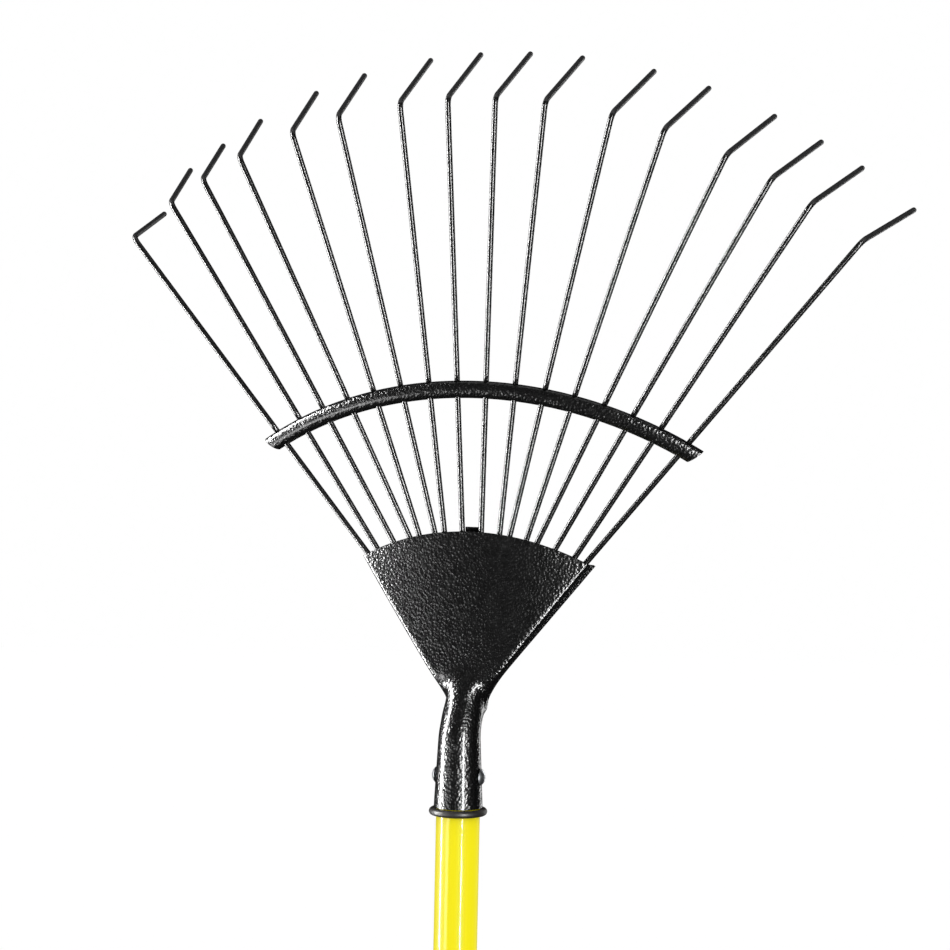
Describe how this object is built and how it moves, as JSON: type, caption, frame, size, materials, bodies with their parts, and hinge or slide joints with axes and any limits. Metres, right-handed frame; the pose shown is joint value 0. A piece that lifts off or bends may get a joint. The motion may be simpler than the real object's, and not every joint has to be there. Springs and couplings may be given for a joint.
{
  "type": "leaf rake",
  "caption": "Fan leaf rake: sprung wire tines in a pressed steel head with a curved oval brace, riveted on a straight yellow glass-fibre handle.",
  "frame": {"origin": "centre of the handle's lower end face", "axes": "+Z along the handle towards the head; +X across the fan; +Y the way the bent ends of the tines point"},
  "size_m": [0.4787, 0.1087, 1.7827],
  "materials": {
    "black_coat": "glossy black hammered powder coat",
    "spring_wire": "black coated spring steel",
    "yellow_glass_fibre": "smooth glossy yellow resin",
    "core_wood": "plain turned wood",
    "cap_plastic": "fine moulded black plastic",
    "ring_rubber": "dark grey moulded rubber",
    "rivet_zinc": "bright zinc plate"
  },
  "bodies": {
    "rake": {"handle_tube": "yellow_glass_fibre", "handle_core": "core_wood", "end_cap": "cap_plastic", "rubber_ring": "ring_rubber", "socket_rivet": "rivet_zinc", "head_plate": "black_coat", "back_plate": "black_coat", "anchor_pegs": "black_coat", "hairpin_1": "spring_wire", "hairpin_2": "spring_wire", "hairpin_3": "spring_wire", "hairpin_4": "spring_wire", "hairpin_5": "spring_wire", "hairpin_6": "spring_wire", "hairpin_7": "spring_wire", "hairpin_8": "spring_wire", "brace": "black_coat"},
    "tine_01": {"tine_01": "spring_wire"},
    "tine_02": {"tine_02": "spring_wire"},
    "tine_03": {"tine_03": "spring_wire"},
    "tine_04": {"tine_04": "spring_wire"},
    "tine_05": {"tine_05": "spring_wire"},
    "tine_06": {"tine_06": "spring_wire"},
    "tine_07": {"tine_07": "spring_wire"},
    "tine_08": {"tine_08": "spring_wire"},
    "tine_09": {"tine_09": "spring_wire"},
    "tine_10": {"tine_10": "spring_wire"},
    "tine_11": {"tine_11": "spring_wire"},
    "tine_12": {"tine_12": "spring_wire"},
    "tine_13": {"tine_13": "spring_wire"},
    "tine_14": {"tine_14": "spring_wire"},
    "tine_15": {"tine_15": "spring_wire"},
    "tine_16": {"tine_16": "spring_wire"}
  },
  "joints": [
    {"name": "tine_01_flex", "type": "hinge", "parent": "rake", "child": "tine_01", "pos_m": [-0.1263, 0.02329, 1.55318], "axis": [-0.7669, 0, -0.6417], "range_deg": [-8, 8], "stiffness_Nm_per_rad": 23.09},
    {"name": "tine_02_flex", "type": "hinge", "parent": "rake", "child": "tine_02", "pos_m": [-0.1108, 0.01974, 1.56122], "axis": [-0.8342, 0, -0.5514], "range_deg": [-8, 8], "stiffness_Nm_per_rad": 22.67},
    {"name": "tine_03_flex", "type": "hinge", "parent": "rake", "child": "tine_03", "pos_m": [-0.09491, 0.01674, 1.56806], "axis": [-0.8649, 0, -0.5019], "range_deg": [-8, 8], "stiffness_Nm_per_rad": 22.3},
    {"name": "tine_04_flex", "type": "hinge", "parent": "rake", "child": "tine_04", "pos_m": [-0.07846, 0.01418, 1.57386], "axis": [-0.8984, 0, -0.4391], "range_deg": [-8, 8], "stiffness_Nm_per_rad": 21.99},
    {"name": "tine_05_flex", "type": "hinge", "parent": "rake", "child": "tine_05", "pos_m": [-0.06136, 0.0121, 1.57862], "axis": [-0.9468, 0, -0.3218], "range_deg": [-8, 8], "stiffness_Nm_per_rad": 21.74},
    {"name": "tine_06_flex", "type": "hinge", "parent": "rake", "child": "tine_06", "pos_m": [-0.04411, 0.01053, 1.58216], "axis": [-0.9707, 0, -0.2403], "range_deg": [-8, 8], "stiffness_Nm_per_rad": 21.54},
    {"name": "tine_07_flex", "type": "hinge", "parent": "rake", "child": "tine_07", "pos_m": [-0.02639, 0.00948, 1.58457], "axis": [-0.9941, 0, -0.1081], "range_deg": [-8, 8], "stiffness_Nm_per_rad": 21.4},
    {"name": "tine_08_flex", "type": "hinge", "parent": "rake", "child": "tine_08", "pos_m": [-0.00881, 0.00896, 1.58574], "axis": [-0.9994, 0, -0.0343], "range_deg": [-8, 8], "stiffness_Nm_per_rad": 21.35},
    {"name": "tine_09_flex", "type": "hinge", "parent": "rake", "child": "tine_09", "pos_m": [0.00881, 0.00896, 1.58574], "axis": [-0.9994, 0, 0.0343], "range_deg": [-8, 8], "stiffness_Nm_per_rad": 21.35},
    {"name": "tine_10_flex", "type": "hinge", "parent": "rake", "child": "tine_10", "pos_m": [0.02639, 0.00948, 1.58457], "axis": [-0.9941, 0, 0.1081], "range_deg": [-8, 8], "stiffness_Nm_per_rad": 21.4},
    {"name": "tine_11_flex", "type": "hinge", "parent": "rake", "child": "tine_11", "pos_m": [0.04411, 0.01053, 1.58216], "axis": [-0.9707, 0, 0.2403], "range_deg": [-8, 8], "stiffness_Nm_per_rad": 21.54},
    {"name": "tine_12_flex", "type": "hinge", "parent": "rake", "child": "tine_12", "pos_m": [0.06136, 0.0121, 1.57862], "axis": [-0.9468, 0, 0.3218], "range_deg": [-8, 8], "stiffness_Nm_per_rad": 21.74},
    {"name": "tine_13_flex", "type": "hinge", "parent": "rake", "child": "tine_13", "pos_m": [0.07846, 0.01418, 1.57386], "axis": [-0.8984, 0, 0.4391], "range_deg": [-8, 8], "stiffness_Nm_per_rad": 21.99},
    {"name": "tine_14_flex", "type": "hinge", "parent": "rake", "child": "tine_14", "pos_m": [0.09491, 0.01674, 1.56806], "axis": [-0.8649, 0, 0.5019], "range_deg": [-8, 8], "stiffness_Nm_per_rad": 22.3},
    {"name": "tine_15_flex", "type": "hinge", "parent": "rake", "child": "tine_15", "pos_m": [0.1108, 0.01974, 1.56122], "axis": [-0.8342, 0, 0.5514], "range_deg": [-8, 8], "stiffness_Nm_per_rad": 22.67},
    {"name": "tine_16_flex", "type": "hinge", "parent": "rake", "child": "tine_16", "pos_m": [0.1263, 0.02329, 1.55318], "axis": [-0.7669, 0, 0.6417], "range_deg": [-8, 8], "stiffness_Nm_per_rad": 23.09}
  ]
}
